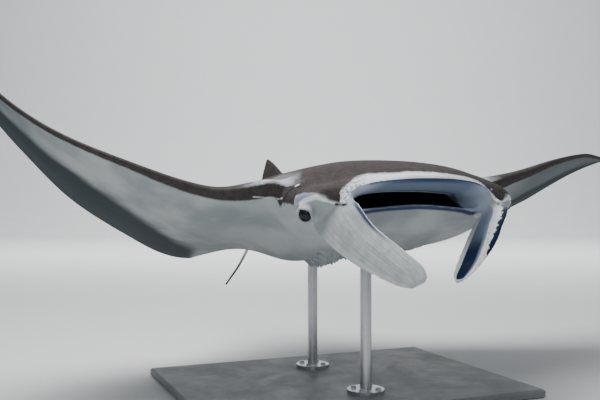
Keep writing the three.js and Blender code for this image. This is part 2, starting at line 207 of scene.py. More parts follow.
# Grooves (negative) and folds (positive) as routes on the right side, with their width and height.
FOLDS = [
    ([[-333, 158, 8], [-324, 176, 20]], 4.0, -6.0),
    ([[-371, 214, -58], [-368, 204, -22], [-354, 187, -2], [-338, 151, 4]], 4.5, -3.0),
    ([[-352, 138, -30], [-340, 108, -20], [-310, 88, -30], [-275, 74, -44]], 11.0, 4.0),
    ([[-300, 160, -112], [-318, 186, -104], [-330, 215, -100]], 9.0, -3.0),
]


# ---- Where the markings lie

EDGE_RANGE = 40.0  # either side of a marking's edge
FAR = 1000.0  # from everything that is looked for
HEAD_FRONT = 125  # how far back the front of the head reaches
HEAD_FRONT_HALF = 262  # how far to each side
CHIN = -60  # and how low
WRAP_AT = [0, 380, 420, 500, 580, 1620]  # span stations
WRAP = [26, 30, 38, 30, 20, 14]  # how far the dark back reaches under the leading edge
LIP_AT = [0, 60, 117, 150, 171, 196, 216, 230, 246, 262, 274]  # places across the upper lip
LIP_LINE = {  # where the dark back ends above it
    "right": [42, 42, 38, 37, 35, 30, 20, 10, -1, -16, -40],
    "left": [42, 37, 31, 26, 21, 12, 1, -8, -24, -40, -50],
}
BAND_LOW = [25, 24, 20, 17, 13, 6, -2, -15, -36, -50, -60]  # where the white lip turns inwards
FLANK_AT = [70, 76, 82, 95, 118, 134, 144, 150, 183, 214, 290]  # places along the side of the head
FLANK_LINE = [-43, -36, -26, -18, -17, -22, -24, -50, -46, -45, -39]
RIM_AT = [0, 90, 150, 190]  # places across the lower lip
RIM = [-49, -54, -60, -68]
REAR_BAND_AT = [0, 380, 480, 560, 680, 900, 1200, 1620]  # span stations
REAR_BAND = {  # chord shares where the shade under the wings starts
    "right": [1.4, 1.0, 0.62, 0.53, 0.43, 0.40, 0.30, 0.0],
    "left": [1.4, 0.9, 0.56, 0.46, 0.34, 0.28, 0.18, -0.05],
}
TIP_SHADE = {"right": [860, 1420], "left": [340, 760]}  # span stations over which the wing darkens
MOUTH_RANGE = 250  # depths in the mouth are stored as shares of this
# The near-black of the throat is painted shade: where it starts, how much further back at the sides, and the
# height it stays under.
BLACK_FROM = 115  # how far into the mouth the black starts
BLACK_AT = [-230, -170, -120, 0, 60, 110, 150, 175, 200]  # places across the mouth
BLACK_DEEPER = [22, 8, -2, 0, 12, 20, 22, 22, 22]  # how much further back it starts there
BLACK_BELOW = [60, 60, 60, 60, 20, -12, -26, -42, -90]  # and the height that it stays under
# the pale patch also holds a painted highlight at its front
SHOULDER = [[-388, 258, 8], [-236, 650, 28]]  # the middle of the right pale patch
# Marks on the right side of the head, mirrored on the left: routes with half their width.
MARKS = {
    "white": [
        ([[-355, 126, -46], [-348, 115, -38], [-323, 93, -27]], 6.5),
        ([[-323, 93, -29], [-300, 81, -37]], 5.5),
        ([[-300, 81, -38], [-276, 75, -46]], 3.5),
        ([[-440, 280, -27], [-397, 276, -31], [-373, 257, -33], [-371, 226, -31]], 1.9),
        # a painted highlight by the spiracle
        ([[-346, 184, 5], [-341, 178, 9]], 4.0),
    ],
    "ink_and_shade": [
        ([[-271, 74, -49], [-253, 48, -48]], 4.5),
        ([[-300, 82, -47], [-277, 76, -51]], 3.0),
        # painted shade in the crease at the front root of the pectoral fin, and in the spiracle's slit
        ([[-371, 216, -52], [-369, 208, -24], [-355, 190, -3], [-340, 160, 3]], 2.2),
        ([[-330, 163, 11], [-325, 174, 18]], 3.0),
        ([[-117, 63, -5], [-131, 57, -4]], 2.2),
        ([[-228, 40, -26], [-227, 18, -55], [-214, -8, -88]], 6.0),
    ],
    "grey": [
        ([[-361, 133, -33], [-349, 116, -25]], 8.0),
    ],
}


# ---- Small tools

def hermite(t, start, start_run, end, end_run):
    """The cubic from start to end that leaves and arrives with the given runs."""
    return (
        (2 * t**3 - 3 * t**2 + 1) * start
        + (t**3 - 2 * t**2 + t) * start_run
        + (3 * t**2 - 2 * t**3) * end
        + (t**3 - t**2) * end_run
    )


def along(xs, ys, x):
    """A smooth monotone curve through a table, for an array of places."""
    xs = np.asarray(xs, float)
    ys = np.asarray(ys, float)
    x = np.clip(np.asarray(x, float), xs[0], xs[-1])
    h = np.diff(xs)
    slope = np.diff(ys) / h
    before, after = slope[:-1], slope[1:]
    a = 2 * h[1:] + h[:-1]
    b = h[1:] + 2 * h[:-1]
    turning = before * after <= 0
    safe_before = np.where(turning, 1, before)
    safe_after = np.where(turning, 1, after)
    middle = np.where(turning, 0, (a + b) / (a / safe_before + b / safe_after))
    tangent = np.concatenate([slope[:1], middle, slope[-1:]])
    i = np.clip(np.searchsorted(xs, x, side="right") - 1, 0, len(xs) - 2)
    t = (x - xs[i]) / h[i]
    return hermite(t, ys[i], h[i] * tangent[i], ys[i + 1], h[i] * tangent[i + 1])


def look_up(xs, table, x):
    return {name: along(xs, values, x) for name, values in table.items()}


def smoothstep(x, low, high):
    t = np.clip((x - low) / (high - low), 0, 1)
    return t * t * (3 - 2 * t)


def fade(x, low, high):
    return 1 - smoothstep(x, low, high)


def bump(x, centre, width):
    """A soft hill of height 1."""
    return np.exp(-(((x - centre) / width) ** 2))


def signed_power(value, power):
    return np.sign(value) * np.abs(value) ** power


def unit(v):
    return v / np.maximum(np.linalg.norm(v, axis=-1, keepdims=True), 1e-12)


def dot(a, b):
    """The dot product of each row of a with the same row of b."""
    return np.einsum("ij,ij->i", a, b)


def mirrored(points, side):
    return [[side * x, y, z] for x, y, z in points]


def by_side(x, make):
    """What make gives for "left" where x is above 0, and what it gives for "right" elsewhere."""
    return np.where(x > 0, make("left"), make("right"))


def smooth_curve(points, t):
    """A centripetal Catmull-Rom curve through points; t runs from 0 to 1, evenly in points."""
    p = np.asarray(points, float)
    p = np.vstack([2 * p[0] - p[1], p, 2 * p[-1] - p[-2]])
    t = np.clip(np.atleast_1d(t), 0, 1) * (len(p) - 3)
    i = np.minimum(t.astype(int), len(p) - 4)
    u = (t - i)[:, None]
    p0, p1, p2, p3 = p[i], p[i + 1], p[i + 2], p[i + 3]

    def gap(a, b):
        return np.maximum(np.linalg.norm(b - a, axis=1, keepdims=True) ** 0.5, 1e-4)

    d0, d1, d2 = gap(p0, p1), gap(p1, p2), gap(p2, p3)
    m1 = ((p1 - p0) / d0 - (p2 - p0) / (d0 + d1) + (p2 - p1) / d1) * d1
    m2 = ((p2 - p1) / d1 - (p3 - p1) / (d1 + d2) + (p3 - p2) / d2) * d1
    return hermite(u, p1, m1, p2, m2)


def loft(rings, close_start=True, close_end=True):
    """Vertices and faces of a loft through rings; points j and last-j face each other across a ring."""
    count, size = rings.shape[:2]
    faces = []
    for i in range(count - 1):
        for j in range(size):
            k = (j + 1) % size
            faces.append((i * size + j, i * size + k, (i + 1) * size + k, (i + 1) * size + j))

    def cap(start, turn):
        for j in range((size + 1) // 2 - 1):
            corners = [start + j, start + size - 1 - j, start + size - 2 - j, start + j + 1]
            corners = list(dict.fromkeys(corners))
            if len(corners) > 2:
                faces.append(tuple(corners[::-1] if turn else corners))

    if close_start:
        cap(0, False)
    if close_end:
        cap((count - 1) * size, True)
    return rings.reshape(-1, 3), faces


def outward(verts, faces):
    """The same faces, turned outwards."""
    volume = 0.0
    for f in faces:
        a, b = verts[f[0]], verts[f[2]]
        volume += np.dot(a, np.cross(verts[f[1]], b))
        if len(f) == 4:
            volume += np.dot(a, np.cross(b, verts[f[3]]))
    return faces if volume > 0 else [f[::-1] for f in faces]


def nearest_on(rings, points, reach):
    """For each point within reach of a lofted form: its number, and the nearest place, face and distance."""
    verts, faces = loft(rings)
    tree = BVHTree.FromPolygons(verts.tolist(), faces)
    near = (points > verts.min(0) - reach) & (points < verts.max(0) + reach)
    for i in np.nonzero(near.all(1))[0]:
        place, _, face, distance = tree.find_nearest(Vector(points[i]), reach)
        if face is not None:
            yield i, place, face, distance


def add_object(name, data):
    obj = bpy.data.objects.new(name, data)
    bpy.context.scene.collection.objects.link(obj)
    return obj


def solid(name, rings):
    """A closed mesh object through rings given in millimetres."""
    verts, faces = loft(rings)
    mesh = bpy.data.meshes.new(name)
    mesh.from_pydata((verts * MM).tolist(), [], outward(verts, faces))
    mesh.validate()
    return add_object(name, mesh)


def finish_mesh(work, mesh):
    """Writes a bmesh to a mesh with smooth faces."""
    for face in work.faces:
        face.smooth = True
    work.to_mesh(mesh)
    work.free()


def apply_modifiers(obj):
    """Bakes an object's modifiers into its mesh."""
    graph = bpy.context.evaluated_depsgraph_get()
    mesh = bpy.data.meshes.new_from_object(obj.evaluated_get(graph))
    obj.modifiers.clear()
    old = obj.data
    obj.data = mesh
    bpy.data.meshes.remove(old)


def vertex_rows(mesh, field="co"):
    """The places, or the normals, of a mesh's vertices."""
    values = np.empty(len(mesh.vertices) * 3, np.float32)
    mesh.vertices.foreach_get(field, values)
    return values.reshape(-1, 3).astype(float)


def set_places(mesh, co):
    mesh.vertices.foreach_set("co", np.ascontiguousarray(co, dtype=np.float32).ravel())
    mesh.update()


def edge_pairs(mesh):
    pairs = np.empty(len(mesh.edges) * 2, np.int32)
    mesh.edges.foreach_get("vertices", pairs)
    return pairs.reshape(-1, 2)


def relax(co, pairs, weight, rounds, keep_volume=True):
    """Masked Taubin smoothing: each round moves a point part of the way to its neighbours' mean."""
    count = len(co)
    a, b = pairs[:, 0], pairs[:, 1]
    degree = np.maximum(np.bincount(a, minlength=count) + np.bincount(b, minlength=count), 1)
    for n in range(rounds):
        share = RELAX[n % 2] if keep_volume else RELAX[0]
        mean = np.empty_like(co)
        for k in range(3):
            mean[:, k] = (
                np.bincount(a, co[b, k], minlength=count) + np.bincount(b, co[a, k], minlength=count)
            ) / degree
        co = co + share * weight[:, None] * (mean - co)
    return co


# ---- The disc

def fullness(c, nose, peak, fall, end):
    """A section's height at shares c of its chord, as a share of its greatest height."""
    front = np.sqrt(np.clip(1 - np.clip(1 - c / peak, 0, 1) ** nose, 0, 1))
    rear = 1 - (1 - end) * np.clip((c - peak) / (1 - peak), 0, 1) ** fall
    return np.where(c < peak, front, rear)


class Wing:
    """One half of the disc: its twist axis and directions at any span station."""

    def __init__(self, which):
        self.pose = POSE[which]
        self.side = SIDE[which]
        count = 200
        stride = HALF_SPAN / count
        middles = (np.arange(count) + 0.5) * stride
        angle = np.radians(along(SPAN, self.pose["slope"], middles))
        self.path_s = np.arange(count + 1) * stride
        self.path_x = np.concatenate([[0], np.cumsum(np.cos(angle)) * stride])
        self.path_z = HUB + np.concatenate([[0], np.cumsum(np.sin(angle)) * stride])

    def frame_at(self, s):
        """The twist axis, the directions back and up across a section, and the chord length."""
        slope = np.radians(along(SPAN, self.pose["slope"], s))
        twist = np.radians(along(SPAN, self.pose["twist"], s))
        square = np.stack([-np.sin(slope), 0 * slope, np.cos(slope)], -1)
        ahead = np.array([0.0, 1.0, 0.0])
        back = np.cos(twist)[:, None] * ahead - np.sin(twist)[:, None] * square
        up = np.cos(twist)[:, None] * square + np.sin(twist)[:, None] * ahead
        front = along(SPAN, DISC["front"], s)
        chord = along(SPAN, DISC["rear"], s) - front
        x = np.interp(s, self.path_s, self.path_x)
        y = front + TWIST_AXIS * chord + along(SPAN, self.pose["sweep"], s)
        z = np.interp(s, self.path_s, self.path_z)
        return np.stack([x, y, z], -1), back, up, chord

    def rings(self, stations, chord_steps):
        """Section rings from the rear edge over the top to the nose and back below."""
        centre, back, up, chord = self.frame_at(stations)
        table = look_up(SPAN, DISC, stations[:, None])
        share = (1 + np.cos(np.pi * np.arange(chord_steps + 1) / chord_steps)) / 2
        c = np.concatenate([share, share[::-1][1:-1]])[None, :]
        above = np.arange(2 * chord_steps)[None, :] <= chord_steps
        over = table["top"] * fullness(c, table["blunt"], table["peak"], table["fall"], table["end"])
        under = table["bottom"] * fullness(c, table["keen"], table["keel"], table["fall"], table["end"])
        height = np.where(above, over, -under) + table["rise"] * smoothstep(c, RISE_FROM, 1)
        points = (
            centre[:, None, :]
            + ((c - TWIST_AXIS) * chord[:, None])[:, :, None] * back[:, None, :]
            + height[:, :, None] * up[:, None, :]
        )
        points[:, :, 0] *= self.side
        return points

    def locate(self, points):
        """Span station, chord share, height and chord, by sliding along the span until square to it."""
        p = points * [self.side, 1, 1]
        s = np.clip(p[:, 0], 0, HALF_SPAN)
        for _ in range(6):
            centre, back, up, _ = self.frame_at(s)
            s = np.clip(s + dot(p - centre, np.cross(back, up)), 0, HALF_SPAN)
        centre, back, up, chord = self.frame_at(s)
        return s, dot(p - centre, back) / chord + TWIST_AXIS, dot(p - centre, up), chord


WINGS = {which: Wing(which) for which in POSE}


def disc_rings(sections, chord_steps):
    """The disc's sections from beyond the right seam to beyond the left."""
    reach = SEAM + SEAM_OVERLAP
    right = WINGS["right"].rings(np.linspace(reach, 0, sections), chord_steps)
    left = WINGS["left"].rings(np.linspace(0, reach, sections)[1:], chord_steps)
    return np.concatenate([right, left])


# ---- Head, mouth, fins and tail as lofts

def oval(table, ring_points):
    """Rounded sections, with a height and a squareness each for their upper and lower halves."""
    angle = ((np.arange(ring_points) + 0.5) / ring_points * 2 * np.pi)[None, :]
    above = np.sin(angle) > 0
    power = np.where(above, 2 / table["roof"], 2 / table["floor"])
    reach = np.where(above, table["top"] - table["widest"], table["widest"] - table["bottom"])
    x = table["half"] * signed_power(np.cos(angle), power)
    return x, table["widest"] + reach * signed_power(np.sin(angle), power), angle


def oval_floor(x, table):
    """The lower half of such a section at places x across it."""
    share = np.clip(1 - np.abs(x / table["half"]) ** table["floor"], 0, 1)
    return table["widest"] - (table["widest"] - table["bottom"]) * share ** (1 / table["floor"])


def mouth_table(y):
    table = look_up(MOUTH_AT, MOUTH, y)
    return table | MOUTH_SQUARENESS | {"widest": (table["top"] + table["bottom"]) / 2}


def lip_arch(x, y):
    """How far the head droops to the sides near the upper lip."""
    return LIP_ARCH * np.exp(-((y / ARCH_DEPTH) ** 2)) * np.minimum(1, np.abs(x) / ARCH_HALF) ** 3


def head_rings(sections=70, ring_points=140):
    y = (HEAD_AT[-1] * np.linspace(0, 1, sections) ** 1.5)[:, None]
    x, z, _ = oval(look_up(HEAD_AT, HEAD, y), ring_points)
    return np.stack([x, y + 0 * x, z - lip_arch(x, y)], -1)


def mouth_rings(sections=40, ring_points=96):
    y = np.linspace(MOUTH_AT[0], MOUTH_AT[-1], sections)[:, None]
    x, z, angle = oval(mouth_table(y), ring_points)
    roof_share = (1 + np.sin(angle)) / 2
    arch = MOUTH_ARCH["floor"] + (MOUTH_ARCH["roof"] - MOUTH_ARCH["floor"]) * roof_share
    return np.stack([x, y + 0 * x, z - arch * (np.abs(x) / ARCH_HALF) ** 2], -1)


def blade_rings(edges, thick, thin, steps, bow=0, fold=0):
    """Sections of a fin between its front and rear edges, bowed and folded across."""
    t = np.linspace(0, BLADE_END, steps[0])
    start = smooth_curve(edges["front"], t)
    across = smooth_curve(edges["rear"], t) - start
    width = np.linalg.norm(across, axis=1)[:, None]

    def middle(at):
        return (smooth_curve(edges["front"], at) + smooth_curve(edges["rear"], at)) / 2

    run = middle(np.minimum(t + 0.01, 1)) - middle(np.maximum(t - 0.01, 0))
    normal = unit(np.cross(run, across))
    t = t[:, None]
    c = ((1 - np.cos(np.pi * np.linspace(0, 1, steps[1]))) / 2)[None, :]
    full = thin + (thick - thin) * np.sin(np.pi * c**0.7).clip(0) ** 0.8
    half = np.minimum(full * (1 - 0.5 * t), 0.3 * width + 0.3) / 2
    ridge = RIDGE_ROOT + (RIDGE_TIP - RIDGE_ROOT) * t
    rise = np.minimum(c / ridge, (1 - c) / (1 - ridge))
    arc = (bow * 4 * c * (1 - c) + fold * fade(t, *RIDGE_FADE) * rise) * np.minimum(1, width / 100)
    base = start[:, None, :] + c[:, :, None] * across[:, None, :]
    upper = base + (arc + half)[:, :, None] * normal[:, None, :]
    lower = base + (arc - half)[:, :, None] * normal[:, None, :]
    return np.concatenate([upper, lower[:, ::-1]], 1)


def fin_rings(which, steps):
    fin = CEPHALIC[which]
    return blade_rings(fin, CEPHALIC_THICK, CEPHALIC_EDGE, steps, fin["bow"], fin["fold"])


def pelvic_rings(which, steps):
    edges = {key: mirrored(points, SIDE[which]) for key, points in PELVIC.items()}
    return blade_rings(edges, PELVIC_THICK, SMALL_FIN_EDGE, steps)


def dorsal_rings(steps):
    return blade_rings(DORSAL, SMALL_FIN_THICK, SMALL_FIN_EDGE, steps)


def tube_rings(centre, radius, across, up, sides):
    """Round sections in the planes of across and up, one for each centre."""
    angle = (np.arange(sides) + 0.5) / sides * 2 * np.pi
    return (
        centre[:, None, :]
        + (radius[:, None] * np.cos(angle))[:, :, None] * across[:, None, :]
        + (radius[:, None] * np.sin(angle))[:, :, None] * up[:, None, :]
    )


def tail_rings(sections=90, sides=20):
    t = np.linspace(0, 1, sections)
    run = smooth_curve(TAIL, np.minimum(t + 0.004, 1)) - smooth_curve(TAIL, np.maximum(t - 0.004, 0))
    across = np.array([[1.0, 0, 0]])
    radius = TAIL_TIP_RADIUS + (TAIL_ROOT_RADIUS - TAIL_TIP_RADIUS) * (1 - t) ** TAIL_TAPER
    return tube_rings(smooth_curve(TAIL, t), radius, across, unit(np.cross(across, unit(run))), sides)


def lower_lip_route(count=70):
    """The edge where the mouth's floor runs out over the jaw."""
    y = np.arange(40, 160, 0.5)
    route = []
    for x in np.linspace(-LOWER_LIP_REACH, LOWER_LIP_REACH, count):
        under = oval_floor(x, look_up(HEAD_AT, HEAD, y)) - lip_arch(x, y)
        floor = oval_floor(x, mouth_table(y)) - MOUTH_ARCH["floor"] * (np.abs(x) / ARCH_HALF) ** 2
        first = np.argmax(floor - under > LOWER_LIP_RADIUS)
        route.append([x, y[first], under[first] + LOWER_LIP_RADIUS * 0.75])
    return np.array(route)


def lower_lip_rings(sides=16):
    """A roll along the lower lip, drawn in to a point at its ends."""
    route = lower_lip_route()
    run = unit(np.gradient(route, axis=0))
    up = unit(np.cross(run, [0.0, 1.0, 0.0]))
    swell = np.clip(np.sin(np.pi * np.linspace(0, 1, len(route))) * 4, 0.08, 1)
    return tube_rings(route, LOWER_LIP_RADIUS * swell, np.cross(up, run), up, sides)


def ellipsoid(name, centre, radii):
    mesh = bpy.data.meshes.new(name)
    work = bmesh.new()
    bmesh.ops.create_uvsphere(work, u_segments=BALL_SEGMENTS, v_segments=BALL_SEGMENTS * 2 // 3, radius=1.0)
    finish_mesh(work, mesh)
    set_places(mesh, (vertex_rows(mesh) * radii + centre) * MM)
    return add_object(name, mesh)


# ---- The skin's mesh

def cut_with(obj, tool):
    modifier = obj.modifiers.new("cut", "BOOLEAN")
    modifier.operation = "DIFFERENCE"
    modifier.solver = "EXACT"
    modifier.object = tool
    apply_modifiers(obj)


def body_centre():
    """Disc centre, head, fins and tail merged into one closed surface."""
    hollow = solid("hollow", mouth_rings())
    pieces = [solid("disc", disc_rings(90, 90)), solid("head_form", head_rings())]
    for piece in pieces:
        cut_with(piece, hollow)
    for which in POSE:
        pieces.append(solid("fin_" + which, fin_rings(which, MERGED_STEPS["cephalic"])))
        pieces.append(solid("pelvic_" + which, pelvic_rings(which, MERGED_STEPS["pelvic"])))
        pieces.append(ellipsoid("lid_" + which, EYES[which], np.array(EYE_RADII) + LID))
    pieces.append(solid("dorsal_form", dorsal_rings(MERGED_STEPS["dorsal"])))
    pieces.append(solid("tail_form", tail_rings()))
    pieces.append(solid("lower_lip", lower_lip_rings()))
    mesh = bpy.data.meshes.new("skin")
    gathered = bmesh.new()
    for piece in pieces:
        gathered.from_mesh(piece.data)
    gathered.to_mesh(mesh)
    gathered.free()
    for form in [hollow, *pieces]:
        bpy.data.objects.remove(form)
    centre = add_object("skin", mesh)
    remesh = centre.modifiers.new("remesh", "REMESH")
    remesh.mode = "VOXEL"
    remesh.voxel_size = VOXEL * MM
    remesh.adaptivity = 0
    apply_modifiers(centre)
    return centre


def snap(co, pairs, rings, reach, start, end):
    """Brings points near a thin form back to its exact surface, from a share of its length on."""
    held = np.zeros(len(co))
    sections, size = rings.shape[:2]
    for i, place, face, _ in nearest_on(rings * MM, co, reach * MM):
        held[i] = smoothstep(min(face // size / (sections - 1), 1), start, end)
        co[i] += held[i] * (np.array(place) - co[i])
    return relax(co, pairs, held, 6)


def settle(obj):
    """Rounds the joints between the merged forms and brings thin forms back to their exact shape."""
    co = vertex_rows(obj.data)
    pairs = edge_pairs(obj.data)
    co = relax(co, pairs, np.ones(len(co)), 6)
    x, y, z = co.T / MM
    side = np.abs(x)
    neck = smoothstep(y, 230, 330) * fade(y, 560, 700) * fade(side, 400, 470)
    corners = bump(side, 236, 30) * bump(y, 74, 34) * bump(z, -18, 40)
    left_cheek = bump(x, 232, 30) * bump(y, 100, 40) * bump(z, -70, 30)
    fin_roots = np.minimum(1, 1.3 * (corners + left_cheek))
    upper_lip = fade(side, 200, 225) * bump(y, 12, 34) * smoothstep(z, -30, -5) * (z < 34)
    for weight, rounds in ((neck, 160), (fin_roots, 60), (upper_lip, 16)):
        co = relax(co, pairs, weight, rounds, keep_volume=False)

    verts, faces = loft(disc_rings(160, 120) * MM, False, False)
    disc = BVHTree.FromPolygons(verts.tolist(), faces)
    outer = np.nonzero((side > WING_HOLD[0]) & (y > DISC_FROM))[0]
    hold = smoothstep(side[outer], *WING_HOLD)
    found = np.array([disc.find_nearest(Vector(co[i]))[0] for i in outer])
    co[outer] += hold[:, None] * (found - co[outer])
    for which in POSE:
        co = snap(co, pairs, fin_rings(which, EXACT_STEPS["cephalic"]), 6, 0.28, 0.42)
        co = snap(co, pairs, pelvic_rings(which, EXACT_STEPS["pelvic"]), 5, 0.3, 0.5)
    co = snap(co, pairs, dorsal_rings(EXACT_STEPS["dorsal"]), 5, 0.3, 0.5)
    co = snap(co, pairs, tail_rings(300, 32), 5, 0.08, 0.16)
    set_places(obj.data, co)


def join_wings(obj):
    """Cuts the merged centre at the seams and bridges it to the wings' own grids."""
    work = bmesh.new()
    work.from_mesh(obj.data)
    start = SEAM + SEAM_GAP
    stations = start + (HALF_SPAN - start) * np.linspace(0, 1, WING_SECTIONS) ** 0.97
    ring = 2 * WING_STEPS
    for wing in WINGS.values():
        middle, back, up, _ = wing.frame_at(np.array([float(SEAM)]))
        flip = np.array([wing.side, 1, 1])
        normal = Vector((np.cross(back[0] * flip, up[0] * flip) * wing.side).tolist())
        if normal.x * wing.side < 0:
            normal.negate()
        cut = bmesh.ops.bisect_plane(
            work,
            geom=work.verts[:] + work.edges[:] + work.faces[:],
            dist=1e-6,
            plane_co=(middle[0] * flip * MM).tolist(),
            plane_no=normal,
            clear_outer=True,
        )
        rim = [e for e in cut["geom_cut"] if isinstance(e, bmesh.types.BMEdge) and e.is_boundary]
        verts, faces = loft(wing.rings(stations, WING_STEPS), False, True)
        made = [work.verts.new(v) for v in (verts * MM).tolist()]
        for f in faces:
            face = [made[i] for i in f]
            work.faces.new(face if wing.side < 0 else face[::-1])
        work.edges.ensure_lookup_table()
        inner = [work.edges.get((made[j], made[(j + 1) % ring])) for j in range(ring)]
        bmesh.ops.bridge_loops(work, edges=rim + inner)
    bmesh.ops.recalc_face_normals(work, faces=work.faces[:])
    finish_mesh(work, obj.data)


# ---- Fine forms

def stroke(points, route):
    """Distance from each point to a route of straight lengths."""
    route = np.asarray(route, float)
    best = np.full(len(points), FAR)
    for a, b in zip(route, route[1:]):
        run = b - a
        t = np.clip((points - a) @ run / (run @ run), 0, 1)
        best = np.minimum(best, np.linalg.norm(points - (a + t[:, None] * run), axis=1))
    return best


def strokes(points, route):
    """Distances to a route given on the right side, and to its mirror image."""
    return [stroke(points, mirrored(route, -side)) for side in SIDE.values()]


def eye_opening(points, which):
    """Where points lie round an eye: direction, the eyeball's radius that way, and 1 at the lid's edge."""
    flip = np.array([SIDE[which], 1, 1])
    gaze = unit(np.array(EYE_GAZE) * flip)
    slant = unit(np.array(EYE_SLANT) * flip)
    direction = unit(points - EYES[which])
    ball = 1 / np.linalg.norm(direction / EYE_RADII, axis=1)
    ahead = direction @ gaze
    long_way = np.arctan2(direction @ slant, ahead)
    short_way = np.arctan2(direction @ np.cross(gaze, slant), ahead)
    return direction, ball, np.hypot(long_way / EYE_OPEN[0], short_way / EYE_OPEN[1])


def gill_place(x, y, k):
    """Place along gill slit k, from -1 at its inner end to 1 at its outer, and distance behind it."""
    share = k / (GILLS - 1)
    gill = {key: first + (GILL_LAST[key] - first) * share for key, first in GILL_FIRST.items()}
    u = (np.abs(x) - gill["x"]) / gill["half"]
    return u, y - (gill["y"] - GILL_BEND[0] * u + GILL_BEND[1] * u * u)


def refine(obj, keep):
    """Halves the mesh size between the vertices to keep."""
    work = bmesh.new()
    work.from_mesh(obj.data)
    edges = [e for e in work.edges if keep[e.verts[0].index] and keep[e.verts[1].index]]
    bmesh.ops.subdivide_edges(work, edges=edges, cuts=1, use_grid_fill=True)
    finish_mesh(work, obj.data)


def near_eyes(mm, reach):
    return np.min([np.linalg.norm(mm - EYES[which], axis=1) for which in POSE], axis=0) < reach


def near_gills(mm):
    x, y, z = mm.T
    inside = np.zeros(len(mm), bool)
    for k in range(GILLS):
        u, behind = gill_place(x, y, k)
        inside |= (np.abs(u) < 1.1) & (np.abs(behind) < 20) & (z < GILL_BELOW)
    return inside


def round_eye_roots(obj):
    """Blends each eyelid's dome into the head."""
    co = vertex_rows(obj.data)
    mm = co / MM
    weight = np.zeros(len(mm))
    for which, centre in EYES.items():
        outwards = (mm[:, 0] - centre[0]) * SIDE[which]
        distance = np.linalg.norm(mm - centre, axis=1)
        weight += smoothstep(distance, 24, 32) * fade(distance, 46, 60) * (outwards < 12)
    weight = np.minimum(weight, 1)
    set_places(obj.data, relax(co, edge_pairs(obj.data), weight, 50, keep_volume=False))


def gill_lift(mm, normals):
    """The gill covers' rise before each slit, and the slits' depth."""
    x, y, z = mm.T
    below = smoothstep(-normals[:, 2], 0.25, 0.6) * (z < GILL_BELOW + 10)
    height = by_side(x, GILL_FLAP.get)
    lift = np.zeros(len(mm))
    for k in range(GILLS):
        u, behind = gill_place(x, y, k)
        length = np.clip(1 - u * u, 0, 1) ** 0.8
        ragged = 1 + 0.14 * np.sin(11 * u + 2.1 * k) + 0.09 * np.sin(27 * u + k)
        flap = height * ragged * smoothstep(behind, -30, -2) ** 2 * fade(behind, -2.5, 2.5)
        slit = GILL_DEPTH * smoothstep(behind, -2.5, 3) * fade(behind, 4, 22)
        lift += below * length * (flap - slit)
    return lift


def open_eye(mm, which):
    """Shapes the skin round one eye as a lid with a rim, and sinks it behind the eyeball in the opening."""
    near = np.nonzero(near_eyes(mm, EYE_SOCKET) & (np.sign(mm[:, 0]) == SIDE[which]))[0]
    direction, ball, opening = eye_opening(mm[near], which)
    reach = np.linalg.norm(mm[near] - EYES[which], axis=1)
    rim = ball + LID + 0.9 * bump(opening, 1.1, 0.12)
    sunk = ball - PUPIL_SINK
    target = sunk + (rim - sunk) * smoothstep(opening, 0.86, 1.02)
    hold = fade(opening, 1.15, 1.45) * fade(reach - target, 5, 13)
    reach = reach + hold * (target - reach)
    mm[near] = np.array(EYES[which]) + direction * reach[:, None]


def carve(obj):
    """Presses eyelids, gill slits, spiracles and skin folds into the surface."""
    refine(obj, near_eyes(vertex_rows(obj.data) / MM, EYE_AREA))
    round_eye_roots(obj)
    refine(obj, near_eyes(vertex_rows(obj.data) / MM, EYE_CORE))
    refine(obj, near_gills(vertex_rows(obj.data) / MM))
    mm = vertex_rows(obj.data) / MM
    normals = vertex_rows(obj.data, "normal")
    lift = gill_lift(mm, normals)
    for route, width, height in FOLDS:
        for distance in strokes(mm, route):
            lift += height * bump(distance, 0, width)
    mm = mm + lift[:, None] * normals
    for which in POSE:
        open_eye(mm, which)
    set_places(obj.data, mm * MM)


# ---- Where a point lies on the animal

def fin_lookup(points, which):
    """Distance from a head fin, shares along and across it, and 1 on its inner face, for points near it."""
    length_steps, width_steps = LOOKUP_STEPS
    rings = fin_rings(which, LOOKUP_STEPS)
    size = 2 * width_steps
    found = []
    for i, place, face, distance in nearest_on(rings, points, LOOKUP_REACH):
        row, column = divmod(face, size)
        column = column if row < length_steps - 1 else 0
        found.append((i, min(row, length_steps - 2), column, distance, *place))
    found = np.array(found)
    index, row, column = found[:, :3].astype(int).T
    corner = rings[row, column]

    def share_towards(neighbour):
        run = neighbour - corner
        return np.clip(dot(found[:, 4:] - corner, run) / np.maximum(dot(run, run), 1e-9), 0, 1)

    round_ring = column + share_towards(rings[row, (column + 1) % size])
    across = np.where(column < width_steps, round_ring, size - 1 - round_ring)
    across = np.clip(across, 0, width_steps - 1) / (width_steps - 1)
    out = np.tile([[FAR], [0.0], [0.0], [0.0]], len(points))
    out[0, index] = found[:, 3]
    out[1, index] = (row + share_towards(rings[row + 1, column])) / (length_steps - 1)
    out[2, index] = (1 - np.cos(np.pi * across)) / 2
    out[3, index] = column < width_steps
    if which == "left":
        out[3] = 1 - out[3]
    return out


def fin_places(mm):
    """The same from the nearer head fin, with the distance turned into a share of being on it."""
    right, left = (fin_lookup(mm, which) for which in ("right", "left"))
    gap, length, across, inner = np.where(left[0] < right[0], left, right)
    return fade(gap, 5, 14) * smoothstep(length, 0.10, 0.22), length, across, inner


def wing_places(mm):
    """Span station, chord share, height and chord length of every point."""
    out = np.zeros((4, len(mm)))
    for wing in WINGS.values():
        pick = (mm[:, 0] > 0) == (wing.side > 0)
        out[:, pick] = wing.locate(mm[pick])
    return out


# ---- Markings

def edge_value(distance):
    """A signed distance, held to the range that a marking's edge needs."""
    return np.clip(distance / EDGE_RANGE, -1, 1)


